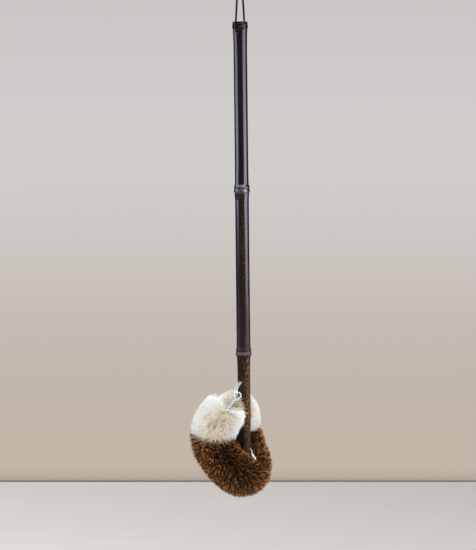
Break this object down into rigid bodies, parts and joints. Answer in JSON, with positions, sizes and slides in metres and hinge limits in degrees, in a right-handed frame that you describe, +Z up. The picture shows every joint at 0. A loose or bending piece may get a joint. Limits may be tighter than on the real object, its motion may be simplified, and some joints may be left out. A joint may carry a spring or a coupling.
{
  "type": "scrubbing brush",
  "caption": "Long-handled round scrubbing brush: fibre on twisted wire bent into a closed ring, tied to a bamboo handle that hangs on a cord loop.",
  "frame": {"origin": "where the cord loop lies on its hook, at the top of the brush", "axes": "+Z up along the hanging handle, -Y towards the front arm of the ring, +X to the right seen from the front"},
  "size_m": [0.0818, 0.0948, 0.5783],
  "materials": {
    "bamboo": "gloss",
    "cord": "matte",
    "steel_wire": "gloss",
    "white_fibre": "matte",
    "brown_fibre": "matte"
  },
  "bodies": {
    "hanging_loop": {"hanging_cord": "cord", "cord_knot": "cord"},
    "brush": {"bamboo_handle": "bamboo", "core_wire": "steel_wire", "upper_tie_wire": "steel_wire", "lower_tie_wire": "steel_wire", "front_white_fibre_1": "white_fibre", "front_white_fibre_2": "white_fibre", "rear_white_fibre_1": "white_fibre", "rear_white_fibre_2": "white_fibre", "brown_fibre_1": "brown_fibre", "brown_fibre_2": "brown_fibre", "brown_fibre_3": "brown_fibre", "brown_fibre_4": "brown_fibre", "brown_fibre_5": "brown_fibre", "brown_fibre_6": "brown_fibre", "brown_fibre_7": "brown_fibre"}
  },
  "joints": [
    {"name": "handle_swings_on_cord", "type": "hinge", "parent": "hanging_loop", "child": "brush", "pos_m": [0.00056, 0, -0.1098], "axis": [-0.454, -0.891, -0.0051], "range_deg": [-60, 60]}
  ]
}
